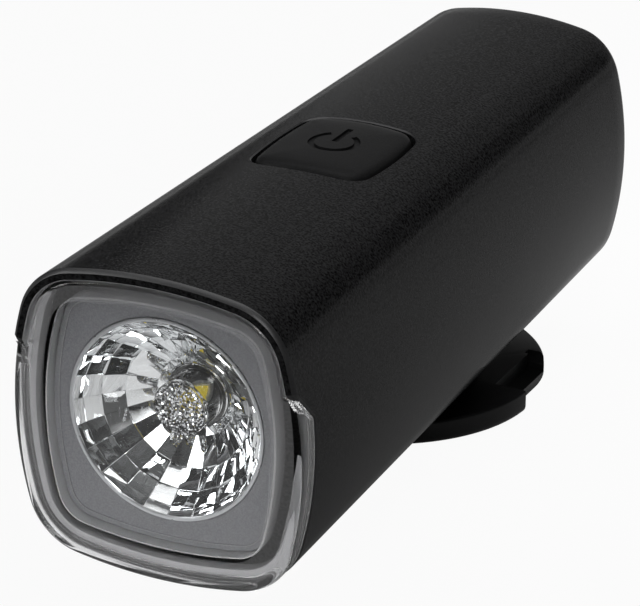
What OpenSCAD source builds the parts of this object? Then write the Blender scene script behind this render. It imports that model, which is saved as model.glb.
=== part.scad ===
// Bicycle headlight on a quarter-turn handlebar bracket.
// Millimetres. Origin on the twist axis, in the plane of the pad under the bracket.
// The beam points to -Y and +Z is up. Places along the light are given as a depth behind the
// front of the hood, and y_at() turns a depth into a Y coordinate.

/* [Body] */
// Width of the body at the front
body_w = 38; // [36:0.1:44]
// Height of the body at the front
body_h = 38.7; // [38:0.1:44]
// Width of the body at the rear
rear_w = 31.8; // [31:0.1:38]
// Height of the body at the rear
rear_h = 35.6; // [35.2:0.1:42]
// Rise of the section's middle from front to rear
rear_rise = 1.1; // [0.6:0.1:2.4]
// Radius of the bowed sides
side_bow_r = 47; // [36:1:90]
// Radius of the bowed top and underside
top_bow_r = 59; // [45:1:90]
// Radius of the section's corners
corner_r = 8.2; // [7:0.1:9.5]
// Wall of the body
wall = 2.2; // [1.8:0.1:2.6]
// Rounding of the body's rear edge
rear_round = 1.6; // [0.6:0.1:2]

/* [Hood and lens] */
// How far the hood stands ahead of the body's lower front edge
hood_reach = 3.8; // [2.5:0.1:5]
// Wall of the hood
hood_wall = 1.4; // [1:0.1:1.8]
// Bevel round the hood's front edge
hood_bevel = 0.5; // [0.2:0.1:0.8]
// Height of the hood's lower end above the section's middle, at its front
hood_end = 8.6; // [5:0.1:12]
// Setback of the lens face from the front of the hood
lens_back = 0.4; // [0.2:0.1:1]
// Thickness of the lens face
lens_t = 1.9; // [1.4:0.1:2.6]
// Rounding of the lens face's edge
lens_edge = 0.7; // [0.3:0.1:1]
// Wall of the lens skirt, measured from the body's outside
lens_wall = 4; // [3.4:0.1:4.4]
// Thickness of the lens seal
lens_seal_t = 0.8; // [0.5:0.1:1.2]

/* [Optics] */
// Radius of the reflector's mouth
mouth_r = 12.2; // [11:0.1:12.6]
// Radius of the reflector's back hole
throat_r = 4; // [4:0.1:4.6]
// Gap between the lens face and the bezel plate
bezel_gap = 1.6; // [0.3:0.1:2]
// Depth from the bezel plate to the LED board
bowl_depth = 8.1; // [7.5:0.1:12]
// Facets round the reflector
facet_columns = 24; // [16:1:36]
// Rows of facets from mouth to throat
facet_rows = 4; // [3:1:8]
// Thickness of the bezel plate
bezel_t = 1.6; // [1.2:0.1:2.2]
// Radius of the clear cup over the LED
cup_r = 3.4; // [3.2:0.05:3.5]
// Setback of the cup's front from the bezel plate
cup_back = 3.4; // [1:0.1:4]
// Thickness of the cup's front
cup_front = 1.2; // [0.8:0.1:2]
// Width of the LED package
led_w = 3.5; // [3.2:0.1:3.7]
// Width of the LED phosphor
phosphor_w = 3; // [1.5:0.1:3.1]
// Radius of the LED board
led_board_r = 13; // [12.4:0.1:13.4]

/* [Power] */
// Diameter of the battery cell
cell_d = 21.3; // [18.3:0.1:21.5]
// Length of the battery cell
cell_l = 70.3; // [65:0.1:72]
// Length of the heat sink
sink_l = 8.8; // [7:0.1:12]
// Wall of the cell cradle
cradle_t = 1.35; // [1.1:0.05:1.5]
// Width of the driver board
board_w = 22; // [21:0.1:22.4]
// Thickness of the driver board
board_t = 1.2; // [0.8:0.1:1.6]

/* [Button] */
// Depth of the button's middle behind the hood's front
button_at = 46.9; // [43:0.1:56]
// Width of the button pocket, side to side
pocket_w = 16.4; // [15:0.1:18]
// Length of the button pocket
pocket_l = 18.7; // [17:0.1:20]
// Depth of the button pocket
pocket_deep = 2.8; // [2.6:0.1:3]
// Gap round the button
button_gap = 0.5; // [0.25:0.05:0.6]
// Rise of the button's shoulder above the roof
button_proud = 0.3; // [0.2:0.1:1]
// Travel of the button and of the switch plunger
button_travel = 0.5; // [0.3:0.05:0.6]
// Outer diameter of the power symbol
symbol_d = 6.5; // [5:0.1:8]
// Stroke of the power symbol
symbol_stroke = 0.8; // [0.5:0.1:1]

/* [Rear cap and charge port] */
// Thickness of the rear cap
cap_t = 4.8; // [4.6:0.1:7]
// Setback of the rear cap from the body's rear edge
cap_back = 0.4; // [0.2:0.1:0.8]
// Width of the charge port cover
cover_w = 14.4; // [13:0.1:16]
// Height of the charge port cover above its hinge
cover_h = 7.2; // [6.8:0.1:7.4]
// Thickness of the charge port cover
cover_t = 1.3; // [1:0.1:1.4]

/* [Bracket] */
// Depth of the twist axis behind the hood's front
axis_back = 75.5; // [70:0.5:82]
// Width of the bracket base
base_w = 30.4; // [30:0.1:38]
// Length of the bracket base
base_l = 39; // [36:0.5:48]
// Thickness of the bracket base
base_t = 3.3; // [3.2:0.1:5]
// Length of the strap notches
notch_l = 11; // [8:0.5:14]
// Place of the strap notches behind the twist axis
notch_at = 3.9; // [0:0.1:5]
// Depth of the strap notches
notch_deep = 4.5; // [4.2:0.1:4.6]
// Thickness of the ledge left under each strap notch
ledge_t = 1.2; // [0.8:0.1:1.6]
// Clear height between the bracket base and the foot's plate
neck_h = 2.6; // [1.5:0.1:4]
// Radius of the twist-lock lugs
lug_r = 9.2; // [8.6:0.1:9.6]
// Angle that each lug takes up
lug_angle = 56; // [40:1:60]
// Thickness of the rubber pad
pad_t = 0.6; // [0.5:0.1:0.8]

/* [Hidden] */
$fn = 48;

// Clearances: a fit inside one body, a screw's hole, air between stacked pieces, a running fit
fit = 0.05;
hole_gap = 0.1;
air = 0.2;
run = 0.3;
// Overshoot of cuts and overlap of shapes joined in one piece
over = 1;
merge = 0.5;

// Stack along the light, front to rear, as depths behind the hood's front
lens_face = lens_back;
bezel_face = lens_face + lens_t + bezel_gap;
bezel_back = bezel_face + bezel_t;
flange_t = 0.8;
lens_skirt_l = 2.6;
lens_end = hood_reach + lens_skirt_l;
seal_ledge = lens_end + lens_seal_t;
led_face = bezel_face + bowl_depth;
led_t = 0.7;
phosphor_t = 0.2;
led_stack = led_t + phosphor_t;
led_board_t = 1.6;
pad_face = led_face + led_board_t;
thermal_pad_t = 0.4;
sink_face = pad_face + thermal_pad_t;
sink_back = sink_face + sink_l;
stop_rib = 1.4;
rib_back = sink_back + stop_rib;
cradle_face = rib_back + air;
tab_t = 0.2;
tab_room = 0.6;
cell_face = cradle_face + tab_room;
cell_back = cell_face + cell_l;
cradle_back = cell_back + run;
boss_l = 3.4;
boss_room = 0.8;
cap_face = cradle_back + boss_room + boss_l;
cap_rear = cap_face + cap_t;
body_l = cap_rear + cap_back;

// Stack under the light, upwards from the plane of the pad
pad_proud = 0.3;
base_bottom = pad_proud;
base_top = base_bottom + base_t;
floor_t = 0.6;
socket_floor = pad_t + floor_t;
lip_t = 1;
lip_bottom = base_top - lip_t;
twist_gap = 0.2;
foot_bottom = socket_floor + twist_gap;
lug_top = lip_bottom - twist_gap;
foot_plate_r = 9.2;
foot_plate_t = 1.2;
foot_plate_bottom = base_top + neck_h;
seat_face = foot_plate_bottom + foot_plate_t;
seat_h = 0.5;
belly = seat_face + seat_h;
stem_r = 7;
stop_play = 1;
oval_end_r = 10;
pad_w = 17;
pad_l = 28;
pad_corner = 5;

// Section of the body at a depth: its share of the way to the rear, its scales and its middle
function share(d) = d / body_l;
function scale_x(d) = 1 + (rear_w / body_w - 1) * share(d);
function scale_z(d) = 1 + (rear_h / body_h - 1) * share(d);
front_middle = belly + body_h / 2 * scale_z(axis_back) - rear_rise * share(axis_back);
function middle(d) = front_middle + rear_rise * share(d);
function roof(d, inset = 0) = middle(d) + (body_h / 2 - inset) * scale_z(d);
function floor_at(d, inset = 0) = middle(d) - (body_h / 2 - inset) * scale_z(d);
function y_at(d) = d - axis_back;

// Stack inside the body, upwards from its flat inner floor
inner_floor = floor_at(cap_face, wall);
cell_play = 0.1;
cell_r = cell_d / 2;
cell_z = inner_floor + fit + cradle_t + cell_play + cell_r;
cradle_r = cell_r + cell_play + cradle_t;
board_rise = 1.3;
board_z = cell_z + cell_r + board_rise;
board_top = board_z + board_t;
board_set = 1.8;
board_face = cradle_face + board_set;
board_back = cap_face - boss_room;
switch_w = 6.2;
switch_h = 3.2;
switch_base = 0.6;
switch_top = board_top + switch_h;
plunger_r = 1.75;
plunger_reach = 1.3;
plunger_top = switch_top + plunger_reach;
tab_w = 6;
tab_turn = 3;
lead_r = 0.5;
lead_x = 2.5;
lead_z = board_top + lead_r + fit;

// Optics and the sink behind them
optic_rise = 0.4;
optic_z = middle(bezel_face) + optic_rise;
rim_t = 0.4;
rim_r = mouth_r + rim_t;
sink_step = 1.2;
sink_inset = wall + sink_step;
hood_slope = 1.1;

// Button stack, downwards from the body's roof
button_roof = roof(button_at);
pocket_floor = button_roof - pocket_deep;
pocket_boss_t = 1.15;
button_seal_t = 0.4;
button_base = pocket_floor + button_seal_t + button_travel + air;
button_crown = 0.25;
button_post_r = 3;
post_bottom = plunger_top + fit;
pocket_corner = 3;
pocket_bow = 60;

// Charge port and its cover
usb_w = 8.94;
usb_h = 3.26;
usb_l = 7.35;
usb_wall = 0.3;
usb_z = board_top + usb_h / 2;
cover_recess = cover_t + run;
recess_floor = cap_rear - cover_recess;
port_back = 0.7;
usb_mouth = recess_floor - port_back;
usb_end = usb_mouth - usb_l;
usb_back_wall = 1.2;
usb_gap = 0.28;
hinge_r = 1.1;
hinge_len = 9;
hinge_drop = 2.35;
hinge_z = usb_z - usb_h / 2 - hinge_drop;
cover_air = 0.15;
hinge_d = recess_floor + cover_air + cover_t / 2;
cover_pin_r = 0.5;
pin_len = 13;
pin_fit = 0.02;
cap_gap = 0.1;
cap_inset = wall + cap_gap;
seal_groove_at = 1.3;
seal_groove_w = 1.3;
seal_groove_deep = 1;

// Screws: thread radius, head radius, head height and how far a sunk head lies below its face
m25_r = 1.25;
m25_head_r = 2.25;
m25_head_h = 1.5;
m2_r = 1;
m2_head_r = 1.9;
m2_head_h = 1.3;
head_sink = 0.3;
head_seat = m2_head_h + head_sink;
sink_screw_l = 6;
board_screw_l = 4;
foot_screw_x = 3.7;
led_screw_x = 9.5;
board_screw_x = 8.6;
front_post = 8;
rear_post = 3;
board_screw_at = [cradle_face + front_post, cradle_back - rear_post];
rear_screw_x = 11.4;
rear_screw_z = middle(cap_face);

// Points of an arc about a centre, n steps from angle a to angle b
function arc(c, r, a, b, n) =
    [for (i = [0:n]) let (t = a + (b - a) * i / n) c + r * [cos(t), sin(t)]];

// First quarter of a bowed square: side arc, corner arc and top arc meet in tangents
function bowed_quarter(w, h, rs, rt, r) =
    let (a = w / 2 - rs, b = h / 2 - rt, gap = norm([a, b]),
         p = rs - r, q = rt - r,
         along = (p * p - q * q + gap * gap) / (2 * gap),
         off = sqrt(p * p - along * along),
         c = [a, 0] + along * [-a, b] / gap + off * [-b, -a] / gap,
         turn_side = atan2(c[1], c[0] - a),
         turn_top = atan2(c[1] - b, c[0]))
    concat(arc([a, 0], rs, 0, turn_side, 3),
           [for (i = [1:5]) let (t = turn_side + (turn_top - turn_side) * i / 5)
               c + r * [cos(t), sin(t)]],
           [for (i = [1:3]) let (t = turn_top + (90 - turn_top) * i / 3)
               [0, b] + rt * [cos(t), sin(t)]]);

// Whole bowed square, counter-clockwise, without repeated points
function bowed_square(w, h, rs, rt, r) =
    let (quarter = bowed_quarter(w, h, rs, rt, r), n = len(quarter) - 1)
    concat(quarter,
           [for (i = [n - 1:-1:0]) [-quarter[i][0], quarter[i][1]]],
           [for (i = [1:n]) [-quarter[i][0], -quarter[i][1]]],
           [for (i = [n - 1:-1:1]) [quarter[i][0], -quarter[i][1]]]);

// Solid through a list of rings of points that run counter-clockwise seen from the first ring's side
module skin(rings) {
    n = len(rings[0]);
    last = len(rings) - 1;
    polyhedron(
        points = [for (ring = rings) each ring],
        faces = concat(
            [[for (i = [n - 1:-1:0]) i]],
            [for (k = [0:last - 1]) for (i = [0:n - 1])
                each [[k * n + i, k * n + (i + 1) % n, (k + 1) * n + (i + 1) % n],
                      [k * n + i, (k + 1) * n + (i + 1) % n, (k + 1) * n + i]]],
            [[for (i = [0:n - 1]) last * n + i]]));
}

// Ring of the body's section at a depth, drawn in by an inset
function body_ring(d, inset) =
    [for (p = bowed_square(body_w - 2 * inset, body_h - 2 * inset, side_bow_r - inset,
                           top_bow_r - inset, corner_r - inset))
        [p[0] * scale_x(d), y_at(d), middle(d) + p[1] * scale_z(d)]];

// Solid of the body's section through stations of depth and inset
module body_loft(stations) {
    skin([for (s = stations) body_ring(s[0], s[1])]);
}

// Band of the body's section between two insets
module body_band(d0, d1, outer, inner) {
    difference() {
        body_loft([[d0, outer], [d1, outer]]);
        body_loft([[d0 - over, inner], [d1 + over, inner]]);
    }
}

// Box between two corners, with the second coordinate given as a depth
module box(x0, x1, d0, d1, z0, z1) {
    translate([x0, y_at(d0), z0]) cube([x1 - x0, d1 - d0, z1 - z0]);
}

// Round bar along the light between two depths
module bar(d0, d1, r, x, z) {
    translate([x, y_at(d0), z]) rotate([-90, 0, 0]) cylinder(h = d1 - d0, r = r);
}

// Slot along the light with round ends, lying flat
module flat_slot(d0, d1, w, h, z) {
    bar(d0, d1, h / 2, (h - w) / 2, z);
    bar(d0, d1, h / 2, (w - h) / 2, z);
    box((h - w) / 2, (w - h) / 2, d0, d1, z - h / 2, z + h / 2);
}

// Pan-head screw pointing up +Z from the origin, head below
module screw_up(r, length, head_r, head_h) {
    cylinder(h = length, r = r);
    translate([0, 0, -head_h]) cylinder(h = head_h, r = head_r);
}

// Oval of the bracket base: two side arcs and rounded ends, drawn in by an inset
function oval_side_r(w, l) = let (c = l / 2 - oval_end_r)
    (c * c + w * w / 4 - oval_end_r * oval_end_r) / (w - 2 * oval_end_r);
function oval(inset) =
    let (w = base_w - 2 * inset, l = base_l - 2 * inset, r = oval_end_r - inset,
         rs = oval_side_r(base_w, base_l) - inset, cx = w / 2 - rs, cy = l / 2 - r,
         turn = atan2(cy, -cx),
         side = arc([cx, 0], rs, -turn, turn, 12),
         tip = arc([0, cy], r, turn, 180 - turn, 6),
         half = concat(side, [for (i = [1:5]) tip[i]]))
    concat(half, -half);

module bracket_base() {
    foot_inset = 1;
    mid_inset = 0.3;
    edge = 1.1;
    mid_edge = 0.35;
    top_edge = 0.4;
    ledge_top = base_bottom + ledge_t;
    ledge_w = 2.3;
    notch_wall = base_w / 2 - notch_deep;
    notch_slope = 1.2;
    color("#1c1c1e") difference() {
        skin([for (s = [[base_top, top_edge], [base_top - top_edge, 0], [base_bottom + edge, 0],
                        [base_bottom + mid_edge, mid_inset], [base_bottom, foot_inset]])
            [for (p = oval(s[1])) [p[0], p[1], s[0]]]]);
        // Lug chamber: two sectors whose ends stop the twist, round a well for the stem
        for (side = [0, 180]) rotate([0, 0, side - lug_angle / 2 - stop_play])
            socket_sector(90 + lug_angle + 2 * stop_play, lug_r + run, socket_floor, lip_bottom);
        translate([0, 0, socket_floor - hole_gap]) cylinder(h = base_top, r = stem_r + run);
        // Entry slots through the lip, a quarter turn from the locked place
        for (side = [90, 270]) rotate([0, 0, side - lug_angle / 2 - stop_play / 2])
            socket_sector(lug_angle + stop_play, lug_r + air, lip_bottom - hole_gap, base_top + over);
        // Strap notches over a drawn-in ledge, with a sloped rear wall
        for (side = [0, 1]) mirror([side, 0, 0]) {
            translate([0, notch_at + notch_l / 2, 0]) rotate([90, 0, 0]) linear_extrude(notch_l)
                polygon([[notch_wall, ledge_top], [notch_wall + ledge_w, ledge_top],
                         [notch_wall + ledge_w, -over], [base_w, -over],
                         [base_w, base_top + over], [notch_wall, base_top + over]]);
            translate([notch_wall - merge, notch_at + notch_l / 2, base_top - notch_slope])
                rotate([45, 0, 0]) cube([base_w, 2 * notch_slope, 2 * notch_slope]);
        }
        // Recess for the pad
        pad_shape(base_bottom - over, pad_t, fit);
    }
}

// Sector of the twist socket between two heights
module socket_sector(angle, r, z0, z1) {
    translate([0, 0, z0]) rotate_extrude(angle = angle)
        translate([stem_r - over, 0]) square([r - stem_r + over, z1 - z0]);
}

// Rounded rectangle of the pad between two heights, grown by a gap
module pad_shape(z0, z1, gap) {
    for (x = [-1, 1], y = [-1, 1])
        translate([x * (pad_w / 2 - pad_corner), y * (pad_l / 2 - pad_corner), z0])
            cylinder(h = z1 - z0, r = pad_corner + gap);
    translate([-pad_w / 2 - gap, -pad_l / 2 + pad_corner, z0])
        cube([pad_w + 2 * gap, pad_l - 2 * pad_corner, z1 - z0]);
    translate([-pad_w / 2 + pad_corner, -pad_l / 2 - gap, z0])
        cube([pad_w - 2 * pad_corner, pad_l + 2 * gap, z1 - z0]);
}

module bracket_pad() {
    color("#2a2a2b") pad_shape(0, pad_t, 0);
}

module mount_foot() {
    plate_top = seat_face - fit;
    lug_bottom = foot_bottom + hole_gap;
    color("#202022") difference() {
        union() {
            translate([0, 0, foot_bottom]) rotate([0, 0, 90])
                cylinder(h = foot_plate_bottom - foot_bottom + merge, r = stem_r);
            translate([0, 0, foot_plate_bottom])
                cylinder(h = plate_top - foot_plate_bottom, r = foot_plate_r);
            for (side = [0, 180]) rotate([0, 0, side - lug_angle / 2])
                translate([0, 0, lug_bottom]) rotate_extrude(angle = lug_angle)
                    translate([stem_r - over, 0]) square([lug_r - stem_r + over, lug_top - lug_bottom]);
        }
        for (x = [-foot_screw_x, foot_screw_x]) {
            translate([x, 0, foot_bottom - over])
                cylinder(h = head_seat + over, r = m2_head_r + hole_gap);
            translate([x, 0, foot_bottom]) cylinder(h = belly, r = m2_r + hole_gap);
        }
    }
}

module foot_screws() {
    seat = foot_bottom + head_seat;
    end = inner_floor - run;
    color("#b4b4b8") for (x = [-foot_screw_x, foot_screw_x])
        translate([x, 0, seat]) screw_up(m2_r, end - seat, m2_head_r, m2_head_h);
}

// Side view of the space that the hood leaves to the lens, drawn back by a gap
module window_zone(gap) {
    top = front_middle + hood_end - gap;
    end = hood_reach - gap;
    rotate([90, 0, 90]) translate([0, 0, -body_w]) linear_extrude(2 * body_w)
        polygon([[y_at(-over), top + over * hood_slope], [y_at(end), top - end * hood_slope],
                 [y_at(end), 0], [y_at(-over), 0]]);
}

// Pocket outline of the button, drawn in by an inset
function pocket_ring(inset) =
    bowed_square(pocket_w - 2 * inset, pocket_l - 2 * inset, pocket_bow - inset,
                 pocket_bow - inset, max(pocket_corner - inset, 1));

module body_shell() {
    boss_rim = 2;
    rib_h = 2.4;
    rib_inset = wall + rib_h;
    boss_half = 3;
    color("#232325") difference() {
        union() {
            difference() {
                body_loft(concat([[0, hood_bevel], [hood_bevel, 0]],
                                 [for (a = [0:30:90]) [body_l - rear_round * (1 - sin(a)),
                                                       rear_round * (1 - cos(a))]]));
                window_zone(0);
                body_loft([[-over, hood_wall], [hood_reach, hood_wall]]);
                body_loft([[hood_reach - fit, wall], [seal_ledge, wall]]);
                body_loft([[seal_ledge - fit, sink_inset], [sink_back, sink_inset]]);
                body_loft([[sink_back - fit, rib_inset], [rib_back + fit, rib_inset]]);
                intersection() {
                    body_loft([[rib_back, wall], [body_l + over, wall]]);
                    box(-body_w, body_w, rib_back, body_l + over, inner_floor, inner_floor + 2 * body_h);
                }
            }
            // Flat round seat for the mounting foot
            translate([0, 0, seat_face]) cylinder(h = inner_floor - run - seat_face, r = foot_plate_r);
            // Thick floor under the button pocket
            box(-pocket_w / 2 - boss_rim, pocket_w / 2 + boss_rim, button_at - pocket_l / 2 - boss_rim,
                button_at + pocket_l / 2 + boss_rim, pocket_floor - pocket_boss_t,
                button_roof - wall + merge);
            // Bosses for the rear cap's screws
            intersection() {
                body_loft([[cap_face - boss_l, wall / 2], [cap_face, wall / 2]]);
                for (side = [-1, 1])
                    translate([side * (rear_screw_x + body_w / 2 - boss_half),
                               y_at(cap_face - boss_l / 2), rear_screw_z])
                        cube([body_w, boss_l, 2 * boss_half], center = true);
            }
        }
        translate([0, y_at(button_at), pocket_floor]) linear_extrude(pocket_deep + over)
            polygon(pocket_ring(0));
        translate([0, y_at(button_at), pocket_floor - 2 * pocket_boss_t])
            cylinder(h = 3 * pocket_boss_t, r = button_post_r + run);
        for (side = [-1, 1])
            bar(cap_face - boss_l - over, cap_face + over, m2_r + fit, side * rear_screw_x, rear_screw_z);
        for (x = [-foot_screw_x, foot_screw_x])
            translate([x, 0, 0]) cylinder(h = inner_floor + over, r = m2_r + fit);
    }
}

module front_lens() {
    gap = 0.1;
    inner_edge = 0.3;
    edge_mid = 0.3 * lens_edge;
    skirt = hood_reach - fit;
    color("#dfe8ec", 0.35) difference() {
        union() {
            intersection() {
                body_loft([[lens_face, gap + lens_edge], [lens_face + edge_mid, gap + edge_mid],
                           [lens_face + lens_edge, gap], [skirt, gap]]);
                window_zone(gap / 2);
            }
            body_loft([[lens_face, hood_wall + gap + inner_edge],
                       [lens_face + inner_edge, hood_wall + gap], [skirt, hood_wall + gap]]);
            body_loft([[lens_face + lens_t, wall + gap], [lens_end, wall + gap]]);
        }
        body_loft([[lens_face + lens_t, lens_wall], [lens_end + over, lens_wall]]);
    }
}

module lens_seal() {
    color("#c8c9cb") body_band(lens_end, seal_ledge, wall + fit, lens_wall);
}

module bezel_plate() {
    edge_gap = 0.15;
    edge_inset = lens_wall + edge_gap;
    bevel = 1.1;
    color("#75757a") difference() {
        body_loft([[bezel_face, edge_inset + bevel], [bezel_face + bevel, edge_inset],
                   [bezel_back, edge_inset]]);
        bar(bezel_face - over, bezel_back + over, rim_r + fit, 0, optic_z);
    }
}

// Radius of the reflector's bowl at a share of its depth: it ends just inside the throat's hole
bowl_end_r = throat_r - air;
function bowl_r(t) = sqrt(mouth_r * mouth_r - t * (mouth_r * mouth_r - bowl_end_r * bowl_end_r));

module reflector() {
    flange_w = 0.9;
    flange_r = rim_r + flange_w;
    bowl_wall = 1.4;
    neck_r = throat_r + bowl_wall;
    turn = 360 / facet_columns;
    lead_in = -0.2;
    depths = concat([lead_in], [for (k = [0:facet_rows]) k / facet_rows]);
    color("#c9ccd0") translate([0, y_at(bezel_face), optic_z]) rotate([-90, 0, 0]) difference() {
        rotate_extrude() polygon([[0, 0], [rim_r, 0], [rim_r, bezel_t], [flange_r, bezel_t],
                                  [flange_r, bezel_t + flange_t], [rim_r, bezel_t + flange_t],
                                  [neck_r, bowl_depth], [0, bowl_depth]]);
        skin([for (t = depths) let (r = bowl_r(max(t, 0)))
            [for (i = [facet_columns - 1:-1:0]) [r * cos(i * turn), r * sin(i * turn), t * bowl_depth]]]);
        cylinder(h = 3 * bowl_depth, r = throat_r, center = true);
    }
}

module centre_optic() {
    base_l = 1;
    base_r = throat_r - hole_gap;
    cup_face = bezel_face + cup_back;
    hollow_r = led_w / sqrt(2) + air;
    color("#e6eef0", 0.5) difference() {
        union() {
            bar(cup_face, led_face - base_l, cup_r, 0, optic_z);
            bar(led_face - base_l, led_face, base_r, 0, optic_z);
        }
        bar(cup_face + cup_front, led_face + over, hollow_r, 0, optic_z);
    }
}

module led_phosphor() {
    color("#f2d12c") box(-phosphor_w / 2, phosphor_w / 2, led_face - led_stack, led_face - led_t,
                         optic_z - phosphor_w / 2, optic_z + phosphor_w / 2);
}

module led_package() {
    color("#f0efe8") box(-led_w / 2, led_w / 2, led_face - led_t, led_face,
                         optic_z - led_w / 2, optic_z + led_w / 2);
}

module led_board() {
    color("#1c1c1e") difference() {
        bar(led_face, pad_face, led_board_r, 0, optic_z);
        for (x = [-led_screw_x, led_screw_x]) 
            bar(led_face - over, pad_face + over, m25_r + hole_gap, x, optic_z);
        for (x = [-lead_x, lead_x]) 
            bar(led_face - over, pad_face + over, lead_r + hole_gap, x, lead_z);
    }
}

module led_screws() {
    color("#b4b4b8") for (x = [-led_screw_x, led_screw_x]) {
        bar(led_face, sink_face + sink_screw_l, m25_r, x, optic_z);
        bar(led_face - m25_head_h, led_face, m25_head_r, x, optic_z);
    }
}

// Channel over the heat sink and pad for the leads
module lead_channel(d0, d1) {
    side = lead_x + 1.6;
    box(-side, side, d0, d1, lead_z - 2 * lead_r, lead_z + body_h / 2);
}

module thermal_pad() {
    edge_in = 1;
    color("#9fb6c4") difference() {
        bar(pad_face, sink_face, led_board_r - edge_in, 0, optic_z);
        for (x = [-led_screw_x, led_screw_x])
            bar(pad_face - over, sink_face + over, m25_r + air, x, optic_z);
        lead_channel(pad_face - over, sink_face + over);
    }
}

module heat_sink() {
    fins = 6;
    fin_gap = 2;
    fin_span = 23;
    core = 3;
    pitch = fin_span / (fins - 1);
    color("#a9abae") difference() {
        body_loft([[sink_face, sink_inset + fit], [sink_back, sink_inset + fit]]);
        lead_channel(sink_face - over, sink_back + over);
        for (i = [0:fins - 1])
            translate([0, y_at(sink_face + core), optic_z - fin_span / 2 + i * pitch - fin_gap / 2])
                translate([-body_w, 0, 0]) cube([2 * body_w, sink_l, fin_gap]);
        for (x = [-led_screw_x, led_screw_x])
            bar(sink_face - over, sink_face + sink_screw_l + merge, m25_r + fit, x, optic_z);
    }
}

// Lead from the LED board to a solder pad on the driver board
module lead(x) {
    through = 0.4;
    on_board = 4;
    bar(led_face - through, board_face + on_board, lead_r, x, lead_z);
}

module led_lead_red() {
    color("#b3201c") lead(-lead_x);
}

module led_lead_black() {
    color("#1a1a1a") lead(lead_x);
}

module cell_cradle() {
    post_l = 5;
    post_half = 2.2;
    post_in = board_screw_x - post_half;
    hole_bottom = board_top - board_screw_l - air;
    foot_w = 6.4;
    color("#34363a") difference() {
        union() {
            bar(cradle_face, cradle_back, cradle_r, 0, cell_z);
            box(-cradle_r, cradle_r, cradle_face, cradle_back, cell_z, board_z);
            box(-foot_w / 2, foot_w / 2, cradle_face, cradle_back, inner_floor + fit, cell_z);
        }
        bar(cradle_face - over, cradle_back + over, cell_r + cell_play, 0, cell_z);
        // Open top between the posts that carry the board
        difference() {
            box(-cell_r - cell_play, cell_r + cell_play, cradle_face - over, cradle_back + over,
                cell_z, board_z + over);
            for (d = board_screw_at, side = [-1, 1])
                translate([side * (post_in + cradle_r / 2), y_at(d), board_z])
                    cube([cradle_r, post_l, 2 * cell_r], center = true);
        }
        for (d = board_screw_at, x = [-board_screw_x, board_screw_x])
            translate([x, y_at(d), hole_bottom]) cylinder(h = board_screw_l + over, r = m2_r + fit);
    }
}

module battery_cell() {
    button_r = 4.5;
    button_h = 0.4;
    rim = 1.5;
    groove = 0.35;
    groove_at = 4;
    groove_w = 1.2;
    color("#2f6f4f") difference() {
        bar(cell_face, cell_back, cell_r, 0, cell_z);
        // Crimp groove near the positive end
        difference() {
            bar(cell_face + groove_at, cell_face + groove_at + groove_w, cell_r + over, 0, cell_z);
            bar(cell_face, cell_back, cell_r - groove, 0, cell_z);
        }
        // Step round the positive button
        difference() {
            bar(cell_face - over, cell_face + button_h, cell_r - rim, 0, cell_z);
            bar(cell_face - 2 * over, cell_face + over, button_r, 0, cell_z);
        }
    }
}

// Flat tab on a cell end that turns in under the driver board
module cell_tab(d, reach) {
    box(-tab_w / 2, tab_w / 2, d, d + tab_t, cell_z - tab_w / 2, board_z);
    box(-tab_w / 2, tab_w / 2, min(d, reach), max(d, reach), board_z - tab_t, board_z);
}

module front_tab() {
    color("#c6c3b8") cell_tab(cell_face - tab_t, board_face + tab_turn);
}

module rear_tab() {
    color("#c6c3b8") cell_tab(cell_back, cell_back - tab_turn);
}

module driver_board() {
    color("#1f5b3a") difference() {
        box(-board_w / 2, board_w / 2, board_face, board_back, board_z, board_top);
        for (d = board_screw_at, x = [-board_screw_x, board_screw_x])
            translate([x, y_at(d), board_z - over]) cylinder(h = board_t + 2 * over, r = m2_r + hole_gap);
    }
}

module driver_parts() {
    row_gap = 14;
    row = button_at + row_gap;
    coil_w = 7;
    coil_h = 4;
    chip_w = 5;
    chip_h = 1.1;
    can_r = 2;
    can_h = 5;
    pitch = 11;
    color("#3b3b3e") {
        // Shielded inductor beside the controller, then two power transistors
        box(-coil_w - over, -over, row, row + coil_w, board_top, board_top + coil_h);
        for (place = [[2, 1], [2, pitch], [-coil_w, pitch]])
            box(place[0], place[0] + chip_w, row + place[1], row + place[1] + chip_w,
                board_top, board_top + chip_h);
        // Capacitors
        for (x = [-chip_w, 0, chip_w])
            translate([x, y_at(row + 2 * pitch), board_top]) cylinder(h = can_h, r = can_r);
    }
}

module board_screws() {
    color("#b4b4b8") for (d = board_screw_at, x = [-board_screw_x, board_screw_x])
        translate([x, y_at(d), board_top]) rotate([180, 0, 0])
            screw_up(m2_r, board_screw_l, m2_head_r, m2_head_h);
}

module switch_body() {
    color("#2b2b2e") difference() {
        box(-switch_w / 2, switch_w / 2, button_at - switch_w / 2, button_at + switch_w / 2,
            board_top, switch_top);
        translate([0, y_at(button_at), board_top + switch_base])
            cylinder(h = switch_h, r = plunger_r + fit);
    }
}

module switch_plunger() {
    base_gap = switch_base + button_travel + air;
    color("#d8d8d4") translate([0, y_at(button_at), board_top + base_gap])
        cylinder(h = plunger_top - board_top - base_gap, r = plunger_r);
}

module button_seal() {
    color("#3a3a3c") translate([0, y_at(button_at), pocket_floor]) difference() {
        linear_extrude(button_seal_t) polygon(pocket_ring(button_gap));
        translate([0, 0, -over]) cylinder(h = button_seal_t + 2 * over, r = button_post_r + run);
    }
}

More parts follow.
